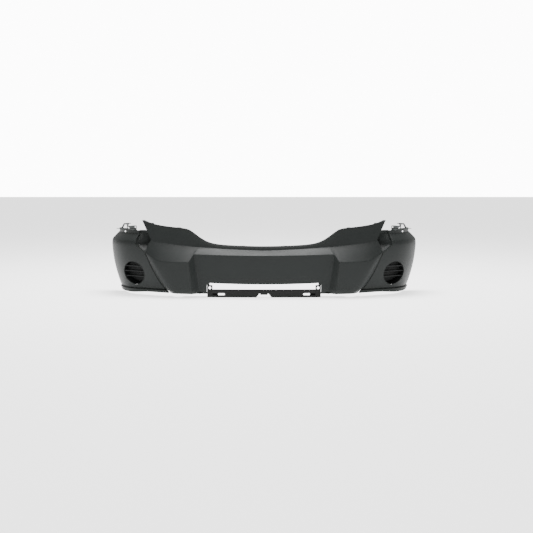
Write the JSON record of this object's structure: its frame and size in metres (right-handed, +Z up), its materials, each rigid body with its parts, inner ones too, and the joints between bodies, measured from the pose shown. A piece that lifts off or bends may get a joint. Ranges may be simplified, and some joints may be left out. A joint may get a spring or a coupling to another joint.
{
  "type": "bumper cover",
  "caption": "Front bumper cover in grained dark plastic: wide centre fascia, corner mouldings with slatted round lamp blanks, lower valance and pull-pin retainers.",
  "frame": {"origin": "middle of the width and depth of the cover, on the plane that its bottom edges stand on", "axes": "+X to the right seen from the front, +Y from the front towards the vehicle, +Z up"},
  "size_m": [1.7996, 0.4358, 0.422],
  "materials": {
    "grained_plastic": "fine grained, unpainted",
    "black_plastic": "plain moulded",
    "insert_plastic": "fine grained",
    "grey_plastic": "plain moulded",
    "black_screw": "black coated",
    "zinc_screw": "zinc plated",
    "dark_clip": "phosphate coated spring steel",
    "bright_clip": "zinc plated spring steel",
    "nylon_sleeve": "plain nylon",
    "nylon_pin": "plain nylon"
  },
  "bodies": {
    "cover": {"bracket_clip_left": "dark_clip", "bracket_clip_right": "dark_clip", "bracket_screws_left": "black_screw", "bracket_screws_right": "black_screw", "centre_fascia": "grained_plastic", "corner_left": "grained_plastic", "corner_right": "grained_plastic", "fender_bracket_left": "grey_plastic", "fender_bracket_right": "grey_plastic", "fog_insert_left": "insert_plastic", "fog_insert_right": "insert_plastic", "fog_screws_left": "black_screw", "fog_screws_right": "black_screw", "joint_screws_left": "zinc_screw", "joint_screws_right": "zinc_screw", "joint_strip_left": "black_plastic", "joint_strip_right": "black_plastic", "lower_valance": "black_plastic", "retainer_sleeves": "nylon_sleeve", "wing_clip_nuts_left": "bright_clip", "wing_clip_nuts_right": "bright_clip"},
    "pin_left_inner": {"retainer_pin_left_inner": "nylon_pin"},
    "pin_left_outer": {"retainer_pin_left_outer": "nylon_pin"},
    "pin_right_inner": {"retainer_pin_right_inner": "nylon_pin"},
    "pin_right_outer": {"retainer_pin_right_outer": "nylon_pin"}
  },
  "joints": [
    {"name": "pin_left_inner_pull", "type": "slide", "parent": "cover", "child": "pin_left_inner", "axis": [0, 0, -1], "range_m": [0, 0.006]},
    {"name": "pin_left_outer_pull", "type": "slide", "parent": "cover", "child": "pin_left_outer", "axis": [0, 0, -1], "range_m": [0, 0.006]},
    {"name": "pin_right_inner_pull", "type": "slide", "parent": "cover", "child": "pin_right_inner", "axis": [0, 0, -1], "range_m": [0, 0.006]},
    {"name": "pin_right_outer_pull", "type": "slide", "parent": "cover", "child": "pin_right_outer", "axis": [0, 0, -1], "range_m": [0, 0.006]}
  ]
}
